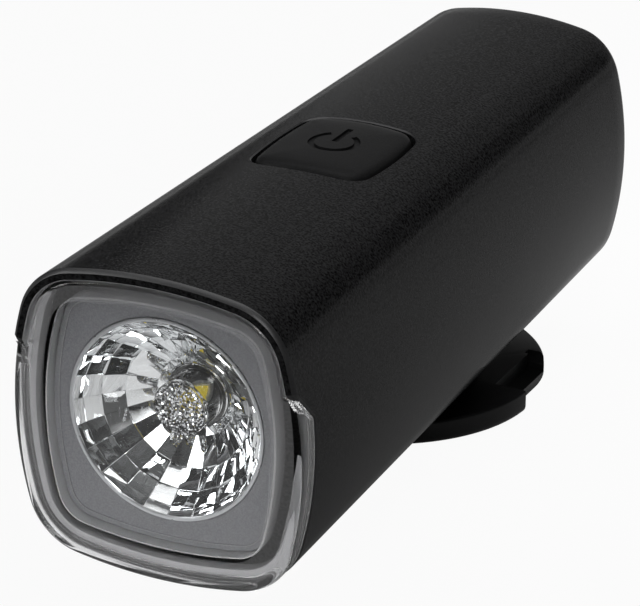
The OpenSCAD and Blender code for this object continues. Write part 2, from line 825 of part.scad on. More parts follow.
module power_button() {
    edge = 0.7;
    shoulder = button_roof + button_proud;
    top = shoulder + button_crown;
    crown_mid = shoulder + button_crown * 0.65;
    crown_in = 5.4;
    crown_mid_in = 3;
    symbol_deep = 0.3;
    symbol_r = symbol_d / 2;
    gap_turn = 32;
    bar_l = 4.8;
    color("#262628") translate([0, y_at(button_at), 0]) difference() {
        union() {
            skin([for (s = [[top, crown_in], [crown_mid, crown_mid_in],
                            [shoulder, edge], [shoulder - edge * 0.35, edge * 0.25],
                            [shoulder - edge, 0], [button_base, 0]])
                [for (p = pocket_ring(button_gap + s[1])) [p[0], p[1], s[0]]]]);
            translate([0, 0, post_bottom])
                cylinder(h = button_base - post_bottom + merge, r = button_post_r);
        }
        // Power symbol: a ring open to the rear, with a bar in its gap
        translate([0, 0, top - symbol_deep]) {
            rotate([0, 0, 90 + gap_turn]) rotate_extrude(angle = 360 - 2 * gap_turn)
                translate([symbol_r - symbol_stroke, 0]) square([symbol_stroke, symbol_deep + over]);
            translate([-symbol_stroke / 2, 0, 0]) cube([symbol_stroke, bar_l, symbol_deep + over]);
        }
    }
}

module usb_shell() {
    color("#b9bcc0") difference() {
        flat_slot(usb_end, usb_mouth, usb_w, usb_h, usb_z);
        flat_slot(usb_end + usb_back_wall, usb_mouth + over,
                  usb_w - 2 * usb_wall, usb_h - 2 * usb_wall, usb_z);
    }
}

module usb_tongue() {
    tongue_w = 6.69;
    tongue_t = 0.7;
    set_in = 0.9;
    color("#1b1b1d") box(-tongue_w / 2, tongue_w / 2, usb_end + usb_back_wall, usb_mouth - set_in,
                         usb_z - tongue_t / 2, usb_z + tongue_t / 2);
}

module rear_cap() {
    groove_r = hinge_r + air;
    groove_len = hinge_len + 2 * run;
    head_gap = 0.15;
    color("#29292b") difference() {
        body_loft([[cap_face, cap_inset], [cap_rear, cap_inset]]);
        // Groove for the seal
        difference() {
            body_loft([[cap_face + seal_groove_at, cap_inset - over],
                       [cap_face + seal_groove_at + seal_groove_w, cap_inset - over]]);
            body_loft([[cap_face, cap_inset + seal_groove_deep],
                       [cap_rear, cap_inset + seal_groove_deep]]);
        }
        // Mouth for the charge port and recess for its cover
        flat_slot(cap_face - over, cap_rear, usb_w + 2 * usb_gap, usb_h + 2 * usb_gap, usb_z);
        box(-cover_w / 2 - run, cover_w / 2 + run, recess_floor, cap_rear + over,
            hinge_z - hinge_r - run, hinge_z + cover_h + run);
        // Seat for the cover's hinge and the hole for its pin
        translate([-groove_len / 2, y_at(hinge_d), hinge_z]) rotate([0, 90, 0])
            cylinder(h = groove_len, r = groove_r);
        translate([-pin_len / 2, y_at(hinge_d), hinge_z]) rotate([0, 90, 0])
            cylinder(h = body_w, r = cover_pin_r + pin_fit);
        // Screw holes with sunk heads
        for (side = [-1, 1]) {
            bar(cap_face - over, cap_rear + over, m2_r + hole_gap, side * rear_screw_x, rear_screw_z);
            bar(cap_rear - head_seat, cap_rear + over, m2_head_r + head_gap, side * rear_screw_x,
                rear_screw_z);
        }
    }
}

module rear_seal() {
    seal_fit = 0.02;
    groove = cap_face + seal_groove_at;
    color("#3a3a3c") body_band(groove + fit, groove + seal_groove_w - fit,
                               wall + seal_fit, cap_inset + seal_groove_deep - seal_fit);
}

module rear_screws() {
    seat = cap_rear - head_seat;
    color("#8d8f93") for (side = [-1, 1]) {
        bar(cap_face - boss_l + merge, seat, m2_r, side * rear_screw_x, rear_screw_z);
        bar(seat, seat + m2_head_h, m2_head_r, side * rear_screw_x, rear_screw_z);
    }
}

module cover_pin() {
    color("#b4b4b8") translate([-pin_len / 2, y_at(hinge_d), hinge_z]) rotate([0, 90, 0])
        cylinder(h = pin_len, r = cover_pin_r);
}

module usb_cover() {
    lip_gap = 0.25;
    lip_w = usb_w + 2 * (usb_gap - lip_gap);
    lip_h = usb_h + 2 * (usb_gap - lip_gap);
    lip_deep = 0.5;
    bore_gap = 0.03;
    cover_face = hinge_d - cover_t / 2;
    color("#303032") difference() {
        union() {
            box(-cover_w / 2, cover_w / 2, cover_face, cover_face + cover_t, hinge_z, hinge_z + cover_h);
            flat_slot(cover_face - lip_deep, cover_face + air, lip_w, lip_h, usb_z);
            translate([-hinge_len / 2, y_at(hinge_d), hinge_z]) rotate([0, 90, 0])
                cylinder(h = hinge_len, r = hinge_r);
        }
        translate([-body_w / 2, y_at(hinge_d), hinge_z]) rotate([0, 90, 0])
            cylinder(h = body_w, r = cover_pin_r + bore_gap);
    }
}

bracket_base();
bracket_pad();
mount_foot();
foot_screws();
body_shell();
front_lens();
lens_seal();
bezel_plate();
reflector();
centre_optic();
led_phosphor();
led_package();
led_board();
led_screws();
thermal_pad();
heat_sink();
led_lead_red();
led_lead_black();
cell_cradle();
battery_cell();
front_tab();
rear_tab();
driver_board();
driver_parts();
board_screws();
switch_body();
switch_plunger();
button_seal();
power_button();
usb_shell();
usb_tongue();
rear_cap();
rear_seal();
rear_screws();
cover_pin();
usb_cover();
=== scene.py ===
import math
import random

import bmesh
import bpy
from mathutils import Matrix, Quaternion, Vector
from mathutils.geometry import delaunay_2d_cdt


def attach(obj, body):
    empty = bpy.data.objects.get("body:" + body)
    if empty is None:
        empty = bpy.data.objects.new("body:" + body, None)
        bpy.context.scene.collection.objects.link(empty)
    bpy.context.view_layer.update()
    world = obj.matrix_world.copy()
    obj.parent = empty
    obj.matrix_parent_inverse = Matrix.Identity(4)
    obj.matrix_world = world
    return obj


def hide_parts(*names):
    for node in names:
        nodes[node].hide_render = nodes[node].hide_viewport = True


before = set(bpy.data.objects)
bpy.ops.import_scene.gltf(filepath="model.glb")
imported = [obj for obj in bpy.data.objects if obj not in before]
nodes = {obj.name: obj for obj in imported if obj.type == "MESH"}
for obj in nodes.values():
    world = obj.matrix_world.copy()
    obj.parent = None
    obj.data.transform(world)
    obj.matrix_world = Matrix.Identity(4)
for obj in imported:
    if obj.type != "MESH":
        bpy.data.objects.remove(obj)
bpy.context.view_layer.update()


# Camera: a long lens half a metre away, ahead of the light, to its side and above it. The picture
# is turned by a hair about the line of sight.
mm = 0.001
eye = Vector((189.948, -421.873, 213.264)) * mm
aim = Vector((-4.171, -23.623, 20.771)) * mm
roll = math.radians(0.429)
bpy.context.scene.view_settings.view_transform = "Standard"
bpy.ops.object.select_all(action="DESELECT")
bpy.ops.object.camera_add(location=eye)
camera = bpy.context.object
camera.rotation_mode = "QUATERNION"
camera.rotation_quaternion = (aim - eye).to_track_quat("-Z", "Y") @ Quaternion((0, 0, 1), roll)
camera.data.sensor_width = 36
camera.data.lens = 215.535
camera.data.clip_start = 0.01
bpy.context.scene.camera = camera


# Floor: a wide matt disc that keeps the light's shadow. It shows white behind the light, and ahead
# of the lens and to its left it turns dark, so that the bright pieces have dark to mirror.
# A fade says where it is dark and where pale, in metres, and how dark and how pale.
floor_r = 1.6
fade_ahead = (-0.12, 0.06, 0.06, 0.86)
fade_beside = (-0.05, 0.01, 0.35, 1)
fade_in_clear = (-0.17, -0.1, 0.06, 0.9)
gloss_share = 0.2
white_share = 0.95


def new_finish(name):
    made = bpy.data.materials.new(name)
    made.use_nodes = True
    web = made.node_tree
    return made, web, web.nodes["Principled BSDF"]


def split_place(web, kind):
    place = web.nodes.new("ShaderNodeTexCoord")
    parts = web.nodes.new("ShaderNodeSeparateXYZ")
    web.links.new(place.outputs[kind], parts.inputs[0])
    return parts.outputs


def ranged(web, value, start, stop, low=0, high=1):
    step = web.nodes.new("ShaderNodeMapRange")
    step.inputs["From Min"].default_value = start
    step.inputs["From Max"].default_value = stop
    step.inputs["To Min"].default_value = low
    step.inputs["To Max"].default_value = high
    web.links.new(value, step.inputs["Value"])
    return step.outputs["Result"]


def reckon(web, operation, first, second):
    step = web.nodes.new("ShaderNodeMath")
    step.operation = operation
    web.links.new(first, step.inputs[0])
    if isinstance(second, float):
        step.inputs[1].default_value = second
    else:
        web.links.new(second, step.inputs[1])
    return step.outputs[0]


bpy.ops.mesh.primitive_circle_add(vertices=96, radius=floor_r, fill_type="NGON")
floor = bpy.context.object
floor.name = "floor"
floor_pale, web, shade = new_finish("floor_pale")
shade.inputs["Roughness"].default_value = 0.9
shade.inputs["Specular IOR Level"].default_value = 0
white = web.nodes.new("ShaderNodeEmission")
white.inputs["Strength"].default_value = 1
place = split_place(web, "Object")
path = web.nodes.new("ShaderNodeLightPath").outputs
pale_ahead = ranged(web, place["Y"], *fade_ahead)
pale_beside = ranged(web, place["X"], *fade_beside)
paleness = reckon(web, "MULTIPLY", pale_ahead, pale_beside)
web.links.new(paleness, shade.inputs["Base Color"])
pale_in_clear = ranged(web, place["Y"], *fade_in_clear)
in_clear = reckon(web, "MULTIPLY", path["Is Transmission Ray"], pale_in_clear)
in_gloss = reckon(web, "MULTIPLY", reckon(web, "MULTIPLY", path["Is Glossy Ray"], gloss_share), paleness)
mirrored = reckon(web, "MAXIMUM", in_clear, in_gloss)
seen = reckon(web, "MAXIMUM", path["Is Camera Ray"], mirrored)
blend = web.nodes.new("ShaderNodeMixShader")
web.links.new(reckon(web, "MULTIPLY", seen, white_share), blend.inputs[0])
web.links.new(shade.outputs[0], blend.inputs[1])
web.links.new(white.outputs[0], blend.inputs[2])
web.links.new(blend.outputs[0], web.nodes["Material Output"].inputs["Surface"])
floor.data.materials.append(floor_pale)


# Studio: a dark room with a pale horizon, a softbox overhead, one behind to the left and two
# narrow ones in front, all plain white. Past the floor the camera sees white.
room_level = 0.02
horizon_top = 0.08
horizon_full = 0.02
room = bpy.data.worlds.new("studio")
bpy.context.scene.world = room
room.use_nodes = True
web = room.node_tree
air = web.nodes["Background"]
air.inputs["Color"].default_value = (1, 1, 1, 1)
path = web.nodes.new("ShaderNodeLightPath").outputs
horizon = ranged(web, split_place(web, "Generated")["Z"], horizon_top, horizon_full)
gloss_or_clear = reckon(web, "MAXIMUM", path["Is Glossy Ray"], path["Is Transmission Ray"])
mirrored = reckon(web, "MULTIPLY", gloss_or_clear, horizon)
seen = reckon(web, "MAXIMUM", path["Is Camera Ray"], mirrored)
web.links.new(ranged(web, seen, 0, 1, room_level, 1), air.inputs["Strength"])

lit_middle = Vector((0, -0.025, 0.02))
softboxes = [
    ("softbox_over", (-0.02, 0.0, 0.75), (0.9, 0.7), 4.2),
    ("softbox_back", (-0.12, 0.91, 0.45), (0.95, 0.75), 0.85),
    ("softbox_left", (-0.55, -0.5, 0.35), (0.25, 0.5), 2.0),
    ("softbox_front", (0.25, -0.75, 0.5), (0.2, 0.4), 2.0),
]
for name, place, size, power in softboxes:
    bpy.ops.object.light_add(type="AREA", location=place)
    box = bpy.context.object
    box.name = name
    box.rotation_euler = (lit_middle - Vector(place)).to_track_quat("-Z", "Y").to_euler()
    box.data.shape = "RECTANGLE"
    box.data.size = size[0]
    box.data.size_y = size[1]
    box.data.energy = power


# Bracket base: an oval plate of black glass-filled nylon that is strapped to the handlebar. It is
# moulded in one piece with two strap notches, a pad recess below and a twist-lock socket on top.
# All lengths from here on are in millimetres, and a cutter reaches past its piece by "over".
base_size = (30.4, 39.0)
base_bottom = 0.3
base_top = 3.6
oval_end = 10.0
foot_round = 1.1
top_round = 0.4
over = 1


# The skin of a piece: a loop of edges that is extruded from ring to ring of places.
def extrude_rings(name, rings, start="NOTHING"):
    bpy.ops.object.select_all(action="DESELECT")
    bpy.ops.mesh.primitive_circle_add(vertices=len(rings[0]), fill_type=start)
    piece = bpy.context.object
    piece.name = name
    bpy.ops.object.mode_set(mode="EDIT")
    shape = bmesh.from_edit_mesh(piece.data)
    line = list(shape.verts)
    for point, place in zip(line, rings[0]):
        point.co = place
    for ring in rings[1:]:
        order = {tuple(point.co): i for i, point in enumerate(line)}
        bpy.ops.mesh.extrude_edges_indiv()
        shape = bmesh.from_edit_mesh(piece.data)
        fresh = [point for point in shape.verts if point.select]
        fresh.sort(key=lambda point: order[tuple(point.co)])
        for point, place in zip(fresh, ring):
            point.co = place
        line = fresh
    bmesh.update_edit_mesh(piece.data)
    bpy.ops.mesh.select_all(action="SELECT")
    bpy.ops.mesh.remove_doubles(threshold=0.0002 * mm)
    bpy.ops.mesh.normals_make_consistent(inside=False)
    bpy.ops.object.mode_set(mode="OBJECT")
    return piece


def only(piece):
    bpy.ops.object.select_all(action="DESELECT")
    piece.select_set(True)
    bpy.context.view_layer.objects.active = piece


def smooth(piece, degrees):
    only(piece)
    bpy.ops.object.shade_smooth_by_angle(angle=math.radians(degrees))


def cut(piece, cutter, how="DIFFERENCE"):
    only(piece)
    knife = piece.modifiers.new("cut", "BOOLEAN")
    knife.operation = how
    knife.solver = "EXACT"
    knife.object = cutter
    bpy.ops.object.modifier_apply(modifier=knife.name)
    bpy.data.objects.remove(cutter)


def ease_edges(piece, width, degrees=35):
    only(piece)
    ease = piece.modifiers.new("ease", "BEVEL")
    ease.limit_method = "ANGLE"
    ease.angle_limit = math.radians(degrees)
    ease.width = width * mm
    ease.segments = 2
    bpy.ops.object.modifier_apply(modifier=ease.name)


def oval_ring(inset, height):
    reach = base_size[1] / 2 - oval_end
    side_r = (reach ** 2 + base_size[0] ** 2 / 4 - oval_end ** 2) / (base_size[0] - 2 * oval_end)
    middle = base_size[0] / 2 - side_r
    turn = math.atan2(reach, -middle)
    half = []
    for i in range(60):
        t = turn * (i / 30 - 1)
        half.append((middle + (side_r - inset) * math.cos(t), (side_r - inset) * math.sin(t)))
    for i in range(30):
        t = turn + (math.pi - 2 * turn) * i / 30
        half.append(((oval_end - inset) * math.cos(t), reach + (oval_end - inset) * math.sin(t)))
    both = half + [(-x, -y) for x, y in half]
    return [along_z(p, height) for p in both]


def along_x(point, at):
    return Vector((at, point[0], point[1])) * mm


def along_y(point, at):
    return Vector((point[0], at, point[1])) * mm


def along_z(point, at):
    return Vector((point[0], point[1], at)) * mm


def prism(name, outline_points, start, stop, way, middle):
    rings = [[way(p, start) for p in outline_points], [way(p, stop) for p in outline_points],
             [way(middle, stop)] * len(outline_points)]
    return extrude_rings(name, rings, "NGON")


def circle(radius, count=64, middle=(0, 0)):
    turns = [2 * math.pi * i / count for i in range(count)]
    return [(middle[0] + radius * math.cos(t), middle[1] + radius * math.sin(t)) for t in turns]


def arc_block(name, middle, radii, heights, start, stop, steps=24):
    corners = [(radii[0], heights[0]), (radii[1], heights[0]), (radii[1], heights[1]), (radii[0], heights[1])]
    rings = []
    for i in range(steps + 1):
        t = math.radians(start + (stop - start) * i / steps)
        rings.append([Vector((middle[0] + r * math.cos(t), middle[1] + r * math.sin(t), z)) * mm
                      for r, z in corners])
    end = sum(rings[-1], Vector()) / 4
    return extrude_rings(name, rings + [[end] * 4], "NGON")


def rounded(width, height, corner_r, middle=(0, 0), steps=8):
    points = []
    for i, (sx, sy) in enumerate(((1, 1), (-1, 1), (-1, -1), (1, -1))):
        for k in range(steps + 1):
            t = math.pi / 2 * (i + k / steps)
            points.append((middle[0] + sx * (width / 2 - corner_r) + corner_r * math.cos(t),
                           middle[1] + sy * (height / 2 - corner_r) + corner_r * math.sin(t)))
    return points


rings = []
for degrees in (0, 18, 36, 54, 72, 90):
    t = math.radians(degrees)
    rings.append(oval_ring(foot_round * (1 - math.sin(t)), base_bottom + foot_round * (1 - math.cos(t))))
for degrees in (0, 30, 60, 90):
    t = math.radians(degrees)
    rings.append(oval_ring(top_round * (1 - math.cos(t)), base_top - top_round * (1 - math.sin(t))))
rings.append([along_z((0, 0), base_top)] * len(rings[0]))
base = extrude_rings("bracket_plate", rings, "NGON")

# Strap notches: each leaves a low ledge for the strap's loop and has a ramp at its rear end.
notch_at = (-1.6, 9.4)
notch_wall = 10.7
ledge_top = 1.5
ledge_out = 13.0
ramp_drop = 1.2
ramp_over = 0.3
ramp_start = notch_at[1] - 0.01
for side in (1, -1):
    ell = [(notch_wall, ledge_top), (ledge_out, ledge_top), (ledge_out, -over), (base_size[0], -over),
           (base_size[0], base_top + over), (notch_wall, base_top + over)]
    in_ell = (side * 20, 3)
    cut(base, prism("notch", [(side * x, z) for x, z in ell], *notch_at, along_y, in_ell))
    ramp = [(ramp_start, base_top - ramp_drop), (notch_at[1] + ramp_drop + ramp_over, base_top + ramp_over),
            (ramp_start, base_top + ramp_over)]
    in_ramp = (notch_at[1] + ramp_over, base_top)
    cut(base, prism("ramp", ramp, side * (notch_wall - 0.5), side * base_size[0], along_x, in_ramp))

# Twist-lock socket: a round well with two entries and the ways that the foot's lugs turn in.
lug_r = 9.2
stem_r = 7.0
lug_turn = 56
socket_floor = 1.2
lip_bottom = 2.6
turn_gap = 0.3
entry_gap = 0.2
inner_r = stem_r - 1
cut(base, prism("well", circle(stem_r + turn_gap, 96), socket_floor - 0.1, base_top + over, along_z, (0, 0)))
for side in (0, 180):
    cut(base, arc_block("lug_way", (0, 0), (inner_r, lug_r + turn_gap), (socket_floor, lip_bottom),
                        side - lug_turn / 2 - 1, side + 90 + lug_turn / 2 + 1))
    cut(base, arc_block("entry", (0, 0), (inner_r, lug_r + entry_gap), (lip_bottom - 0.1, base_top + over),
                        side + 90 - lug_turn / 2 - 0.5, side + 90 + lug_turn / 2 + 0.5))
pad_size = (17.0, 28.0)
pad_corner = 5.0
pad_top = 0.6
glue_gap = 0.1
pad_recess = rounded(pad_size[0] + glue_gap, pad_size[1] + glue_gap, pad_corner)
cut(base, prism("pad_recess", pad_recess, -over, pad_top, along_z, (0, 0)))
ease_edges(base, 0.18)
smooth(base, 30)


def noise(web, place, size, detail):
    cloud = web.nodes.new("ShaderNodeTexNoise")
    cloud.inputs["Scale"].default_value = 1 / (size * mm)
    cloud.inputs["Detail"].default_value = detail
    web.links.new(place, cloud.inputs["Vector"])
    return cloud.outputs["Fac"]


def tint(web, shade, share, dark, pale):
    mix = web.nodes.new("ShaderNodeMix")
    mix.data_type = "RGBA"
    mix.inputs["A"].default_value = (*dark, 1)
    mix.inputs["B"].default_value = (*pale, 1)
    web.links.new(share, mix.inputs["Factor"])
    web.links.new(mix.outputs["Result"], shade.inputs["Base Color"])


def emboss(web, shade, height, depth):
    bump = web.nodes.new("ShaderNodeBump")
    bump.inputs["Strength"].default_value = 1
    bump.inputs["Distance"].default_value = depth * mm
    web.links.new(height, bump.inputs["Height"])
    web.links.new(bump.outputs["Normal"], shade.inputs["Normal"])


# A moulded or blasted surface: fine grain in colour and relief, and a slow drift of its sheen.
def grained(name, colour, rough, grain, depth, specular=0.5, mottle=0.2):
    made, web, shade = new_finish(name)
    shade.inputs["Specular IOR Level"].default_value = specular
    place = web.nodes.new("ShaderNodeTexCoord").outputs["Object"]
    fine = noise(web, place, grain, 3)
    cloud = noise(web, place, 9, 4)
    dark = [c * (1 - mottle) for c in colour]
    pale = [min(1, c * (1 + mottle)) for c in colour]
    tint(web, shade, ranged(web, fine, 0.35, 0.65), dark, pale)
    sheen = ranged(web, cloud, 0.3, 0.7, rough * 0.95, min(1, rough * 1.05))
    web.links.new(sheen, shade.inputs["Roughness"])
    emboss(web, shade, fine, depth)
    return made


base.data.materials.append(grained("bracket_plastic", (0.005, 0.005, 0.0053), rough=0.34, grain=0.3,
                                   depth=0.004, specular=0.18))
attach(base, "bracket")
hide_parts("bracket_base")


# Bracket pad: a thin sheet of soft black rubber glued into the underside of the base. Shallow
# grooves across it grip the bar.
pad_back = pad_top - 0.01
groove_pitch = 2.4
groove_half = 0.35
groove_deep = 0.2


def pad_ring(inset, height):
    shape = rounded(pad_size[0] - 2 * inset, pad_size[1] - 2 * inset, pad_corner - inset)
    return [along_z(p, height) for p in shape]


pad_rings = [pad_ring(0.25, 0), pad_ring(0.08, 0.06), pad_ring(0, 0.2), pad_ring(0, pad_back)]
pad_rings.append([along_z((0, 0), pad_back)] * len(pad_rings[0]))
pad = extrude_rings("bar_pad", pad_rings, "NGON")
for row in range(-5, 6):
    at = row * groove_pitch
    groove = [(at - groove_half, -0.1), (at + groove_half, -0.1), (at, groove_deep)]
    cut(pad, prism("groove", groove, -pad_size[0], pad_size[0], along_x, (at, 0)))
smooth(pad, 30)
pad.data.materials.append(grained("pad_rubber", (0.02, 0.02, 0.021), rough=0.75, grain=0.5, depth=0.02,
                                  specular=0.3))
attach(pad, "bracket")
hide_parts("bracket_pad")


def finish_node(name, material):
    nodes[name].material_slots[0].material = material


# Bare or coated metal with a faint haze, which a stretch draws out into brush marks.
def plated(name, colour, rough, haze_size=1.3, ripple=0.002, stretch=None):
    made, web, shade = new_finish(name)
    shade.inputs["Metallic"].default_value = 1
    place = web.nodes.new("ShaderNodeTexCoord").outputs["Object"]
    if stretch:
        drawn = web.nodes.new("ShaderNodeMapping")
        drawn.inputs["Scale"].default_value = stretch
        web.links.new(place, drawn.inputs["Vector"])
        place = drawn.outputs["Vector"]
    haze = noise(web, place, haze_size, 3)
    tint(web, shade, haze, [c * 0.93 for c in colour], [min(1, c * 1.05) for c in colour])
    web.links.new(ranged(web, haze, 0, 1, rough * 0.7, rough * 1.3), shade.inputs["Roughness"])
    emboss(web, shade, haze, ripple)
    return made


foot_nylon = grained("foot_nylon", (0.006, 0.006, 0.0063), rough=0.4, grain=0.3, depth=0.004, specular=0.3)
finish_node("mount_foot", foot_nylon)
finish_node("foot_screws", plated("screw_steel", (0.5, 0.5, 0.51), rough=0.28))


# Body: one tapered tube of black bead-blasted aluminium with a bowed square section. Its upper
# front edge reaches forward as a hood over the lens, and ends in a slanted cut on each side.
# Depths are measured back from the front of the hood.
length = 105.0
axis_back = 75.5
front_middle = 25.3445
front_size = (38.0, 38.7)
rear_size = (31.8, 35.6)
rear_rise = 1.1
side_bow = 47.0
top_bow = 59.0
corner = 8.2
hood_reach = 3.8
hood_end = 8.6
hood_slope = 1.1
hood_wall = 1.4
wall = 2.2


# A square of four shallow arcs with rounded corners, each arc meeting the next without a kink.
def outline(width, height, side_r, top_r, corner_r, steps=(26, 18, 26)):
    a = width / 2 - side_r
    b = height / 2 - top_r
    gap = math.hypot(a, b)
    p = side_r - corner_r
    q = top_r - corner_r
    along = (p * p - q * q + gap * gap) / (2 * gap)
    off = math.sqrt(p * p - along * along)
    cx = a - along * a / gap - off * b / gap
    cz = along * b / gap - off * a / gap
    turn_side = math.atan2(cz, cx - a)
    turn_top = math.atan2(cz - b, cx)
    arcs = [((a, 0), side_r, 0, turn_side), ((cx, cz), corner_r, turn_side, turn_top),
            ((0, b), top_r, turn_top, math.pi / 2)]
    quarter = []
    for (centre, r, start, stop), n in zip(arcs, steps):
        for i in range(n):
            t = start + (stop - start) * i / n
            quarter.append((centre[0] + r * math.cos(t), centre[1] + r * math.sin(t)))
    quarter.append((0, height / 2))
    upper = quarter + [(-x, z) for x, z in reversed(quarter[:-1])]
    return upper + [(x, -z) for x, z in reversed(upper[1:-1])]


def taper(depth):
    share = depth / length
    narrow = 1 + (rear_size[0] / front_size[0] - 1) * share
    low = 1 + (rear_size[1] / front_size[1] - 1) * share
    return narrow, low, front_middle + rear_rise * share


def section_point(point, depth):
    narrow, low, middle = taper(depth)
    return Vector((point[0] * narrow, depth - axis_back, middle + point[1] * low)) * mm


def section(inset):
    return outline(front_size[0] - 2 * inset, front_size[1] - 2 * inset, side_bow - inset,
                   top_bow - inset, corner - inset)


def body_ring(depth, inset):
    return [section_point(p, depth) for p in section(inset)]


def front_depth(point):
    slant = (hood_end - point[1]) / hood_slope
    return min(max(slant, 0), hood_reach)


def rim(inset, behind):
    flat = section(inset)
    edge = section(0)
    return [section_point(p, front_depth(q) + behind) for p, q in zip(flat, edge)]


front_room = 14
rear_room = 98
ledge = hood_reach + 0.05
skin_start = hood_reach + 0.6
skin_steps = 36
rear_round = 1.6
skin_step = (length - rear_round - skin_start) / skin_steps
hood_edge = [(hood_wall, 0.12), (hood_wall - 0.12, 0), (0.5, 0), (0.42, 0.04), (0.04, 0.42), (0, 0.5)]
rings = [body_ring(front_room, wall), body_ring(ledge, wall), body_ring(ledge, hood_wall)]
rings += [rim(inset, behind) for inset, behind in hood_edge]
rings += [body_ring(skin_start + skin_step * i, 0) for i in range(skin_steps + 1)]
for degrees in (20, 40, 60, 75, 90):
    t = math.radians(degrees)
    rings.append(body_ring(length - rear_round * (1 - math.sin(t)), rear_round * (1 - math.cos(t))))
rings += [body_ring(length, wall), body_ring(rear_room, wall), body_ring(front_room, wall)]
body = extrude_rings("body", rings)

# Pocket in the roof for the power button, with a narrow chamfer that follows the roof.
button_at = 46.9
pocket = (16.4, 18.7)
pocket_bow = 60.0
pocket_corner = 3.0
pocket_deep = 2.8
chamfer = 0.16
chamfer_out = 0.5


def roof(x, depth):
    narrow, low, middle = taper(depth)
    arch = front_size[1] / 2 - top_bow + math.sqrt(top_bow ** 2 - (x / narrow) ** 2)
    return middle + arch * low


def pocket_outline(inset):
    return outline(pocket[0] - 2 * inset, pocket[1] - 2 * inset, pocket_bow - inset,
                   pocket_bow - inset, max(pocket_corner - inset, 0.6), steps=(8, 10, 8))


def roof_ring(inset, lift):
    return [Vector((x, button_at + y - axis_back, roof(x, button_at + y) + lift)) * mm
            for x, y in pocket_outline(inset)]


def flat_ring(inset, height):
    return [Vector((x, button_at + y - axis_back, height)) * mm for x, y in pocket_outline(inset)]


button_middle = (0, button_at - axis_back)
pocket_floor = roof(0, button_at) - pocket_deep
floor_cap = [along_z(button_middle, pocket_floor)] * len(pocket_outline(0))
pocket_rings = [roof_ring(-chamfer_out, 3), roof_ring(-chamfer_out, chamfer_out - chamfer),
                roof_ring(0, -chamfer), flat_ring(0, pocket_floor), floor_cap]
cut(body, extrude_rings("pocket_cutter", pocket_rings, "NGON"))

# Round seat under the body that the foot is screwed to.
seat_bottom = 7.4
seat_top = 9.8
seat_r = 9.2
seat_steps = [(seat_bottom, seat_r - 0.25), (seat_bottom + 0.07, seat_r - 0.07), (seat_bottom + 0.2, seat_r),
              (seat_top, seat_r)]
seat_rings = [[along_z(p, height) for p in circle(radius, 96)] for height, radius in seat_steps]
seat_rings.append([along_z((0, 0), seat_top)] * len(seat_rings[0]))
cut(body, extrude_rings("seat", seat_rings, "NGON"), "UNION")
smooth(body, 25)

body.data.materials.append(grained("body_black", (0.012, 0.012, 0.0124), rough=0.2, grain=0.3, depth=0.014,
                                   specular=0.035, mottle=0.8))
body.data.materials.append(plated("seat_bare", (0.8, 0.8, 0.81), rough=0.5))
# The hood's bevel and the pocket's chamfer get a glossier black that is also lighter in colour: the lighter
# colour is a painted highlight along those edges.
body.data.materials.append(grained("body_edge_painted_highlight", (0.02, 0.02, 0.021), rough=0.36, grain=0.16, depth=0.01))
for face in body.data.polygons:
    depth = face.center.y / mm + axis_back
    outward = Vector((face.center.x, 0, face.center.z - front_middle * mm)).normalized()
    facing_in = face.normal.dot(outward) < -0.3
    in_front_room = depth < front_room - 0.1 and facing_in
    on_ledge = face.normal.y < -0.8 and hood_reach + 0.03 < depth < hood_reach + 0.2
    on_bevel = depth < hood_reach + 1.2 and -0.93 < face.normal.y < -0.3 and not facing_in
    by_pocket = abs(depth - button_at) < 10 and abs(face.center.x) < 8.6 * mm
    if in_front_room or on_ledge:
        face.material_index = 1
    # Bevel and chamfer faces take the lighter edge black, a painted highlight.
    elif on_bevel or by_pocket and 0.3 < face.normal.z < 0.92:
        face.material_index = 2
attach(body, "light")
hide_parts("body_shell")


# Light engine: a white LED package on a round metal-core board, screwed with a thermal pad to an
# aluminium heat sink. Two leads run back from it.
def board_look(name, colour, line_colour, pitch):
    made, web, shade = new_finish(name)
    shade.inputs["Roughness"].default_value = 0.35
    place = web.nodes.new("ShaderNodeTexCoord")
    tracks = web.nodes.new("ShaderNodeTexBrick")
    tracks.inputs["Scale"].default_value = 1 / (pitch * mm)
    tracks.inputs["Mortar Size"].default_value = 0.03
    tracks.inputs["Color1"].default_value = (*colour, 1)
    tracks.inputs["Color2"].default_value = (*[c * 0.85 for c in colour], 1)
    tracks.inputs["Mortar"].default_value = (*line_colour, 1)
    web.links.new(place.outputs["Object"], tracks.inputs["Vector"])
    web.links.new(tracks.outputs["Color"], shade.inputs["Base Color"])
    emboss(web, shade, tracks.outputs["Fac"], 0.01)
    return made


def brushed(name, colour, rough):
    return plated(name, colour, rough, stretch=(1, 12, 12))


finish_node("heat_sink", brushed("sink_aluminium", (0.62, 0.63, 0.64), rough=0.38))
finish_node("thermal_pad", grained("pad_blue", (0.35, 0.47, 0.55), rough=0.7, grain=0.4, depth=0.01))
finish_node("led_board", board_look("board_mask", (0.012, 0.012, 0.013), (0.03, 0.03, 0.032), pitch=3))
finish_node("led_screws", plated("led_screw_steel", (0.5, 0.5, 0.51), rough=0.3))
finish_node("led_package", grained("led_white", (0.8, 0.8, 0.78), rough=0.5, grain=0.2, depth=0.002))
# The phosphor also gets a faint yellow glow of its own, though the LED is off: painted light, so that its
# yellow shows through the cup.
phosphor = grained("phosphor_yellow", (0.92, 0.76, 0.05), rough=0.55, grain=0.15, depth=0.004, mottle=0.06)
phosphor_shade = phosphor.node_tree.nodes["Principled BSDF"]
phosphor_shade.inputs["Emission Color"].default_value = (0.9, 0.68, 0.02, 1)
phosphor_shade.inputs["Emission Strength"].default_value = 0.3
finish_node("led_phosphor", phosphor)
finish_node("led_lead_red", grained("lead_red", (0.45, 0.02, 0.02), rough=0.45, grain=0.5, depth=0.004))
finish_node("led_lead_black", grained("lead_black", (0.015, 0.015, 0.015), rough=0.45, grain=0.5,
                                      depth=0.004))


